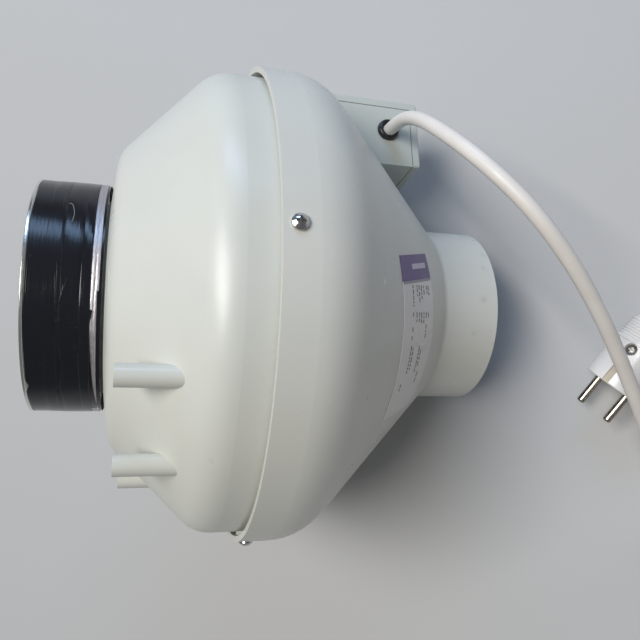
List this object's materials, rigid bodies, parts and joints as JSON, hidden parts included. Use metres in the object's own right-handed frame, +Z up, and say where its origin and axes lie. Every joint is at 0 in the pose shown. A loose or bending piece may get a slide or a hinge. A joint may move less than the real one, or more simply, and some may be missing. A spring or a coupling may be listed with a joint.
{
  "type": "inline duct fan",
  "caption": "Round inline duct fan with a clamshell plastic casing, two spigots, a taped inlet collar, a wedge terminal box and a corded plug.",
  "frame": {"origin": "on the floor under the centre of the fan's box, without its free cord and plug, as the fan lies on its skirt and outlet spigot", "axes": "+Z up, +X horizontal towards the outlet, +Y towards the terminal box; the duct axis lies in the XZ plane and slopes 34.7 degrees down towards the outlet"},
  "size_m": [0.4509, 0.2815, 0.2368],
  "materials": {
    "casing_plastic": "satin moulded ABS, light warm grey",
    "outlet_plastic": "satin moulded ABS, light warm grey",
    "box_plastic": "fine satin, slightly greenish grey",
    "seal_rubber": "soft black",
    "grommet_rubber": "glossy black rubber",
    "screw_steel": "bright zinc plated",
    "dark_screw_steel": "zinc plated",
    "black_tape": "glossy PVC tape",
    "foil_tape": "crinkled bright foil",
    "galvanised": "galvanised sheet",
    "impeller_plastic": "moulded dark grey nylon",
    "impeller_steel": "galvanised steel sheet",
    "rotor_steel": "black painted steel",
    "lamination": "stacked electrical steel",
    "shaft_steel": "ground steel",
    "bearing_steel": "polished steel",
    "motor_aluminium": "die cast",
    "copper_winding": "varnished copper wire",
    "lead_sheath": "black lead sheath",
    "wire_sheath": "pale inner sheath",
    "terminal_plastic": "natural polyamide",
    "capacitor_can": "pale plastic can",
    "clamp_plastic": "moulded nylon",
    "cord_pvc": "white PVC sheath, soft gloss",
    "tie_fabric": "hook and loop strap",
    "plug_plastic": "white moulded thermoset",
    "pin_brass": "nickel plated brass",
    "label_paper": "off-white printed label",
    "accent_paper": "plain violet label"
  },
  "bodies": {
    "housing": {"inlet_housing": "casing_plastic", "outlet_housing": "outlet_plastic", "housing_seal": "seal_rubber", "housing_screws": "screw_steel", "inlet_nozzle": "impeller_plastic", "nozzle_screws": "dark_screw_steel", "front_bearing": "bearing_steel", "rear_bearing": "bearing_steel", "motor_flange": "motor_aluminium", "stator_core": "lamination", "stator_windings": "copper_winding", "motor_support": "galvanised", "support_screws": "dark_screw_steel", "motor_screws": "dark_screw_steel", "motor_lead": "lead_sheath", "terminal_box_base": "box_plastic", "terminal_box_lid": "box_plastic", "lid_screws": "dark_screw_steel", "terminal_block": "terminal_plastic", "terminal_screws": "dark_screw_steel", "capacitor": "capacitor_can", "capacitor_clip": "dark_screw_steel", "cord_clamp": "clamp_plastic", "inner_lead": "wire_sheath", "cable_grommet": "grommet_rubber", "inlet_adapter_ring": "galvanised", "black_tape_wrap": "black_tape", "foil_tape_band": "foil_tape", "rating_label": "label_paper", "accent_label": "accent_paper", "mains_cord": "cord_pvc", "mains_cord_coil": "cord_pvc", "mains_cord_tail": "cord_pvc", "cord_tie": "tie_fabric", "plug_body": "plug_plastic", "plug_cover": "plug_plastic", "plug_pins": "pin_brass", "plug_earth_clips": "pin_brass", "plug_screw": "screw_steel"},
    "impeller": {"impeller_shroud": "impeller_steel", "impeller_blades": "impeller_steel", "impeller_backplate": "impeller_steel", "impeller_rivets": "dark_screw_steel", "rotor_shell": "rotor_steel", "rotor_cage": "lamination", "motor_shaft": "shaft_steel", "retaining_ring": "shaft_steel"}
  },
  "joints": [
    {"name": "impeller_spin", "type": "hinge", "parent": "housing", "child": "impeller", "pos_m": [-0.01138, -0.0006, 0.11753], "axis": [0.8226, 0, -0.5686], "continuous": true}
  ]
}
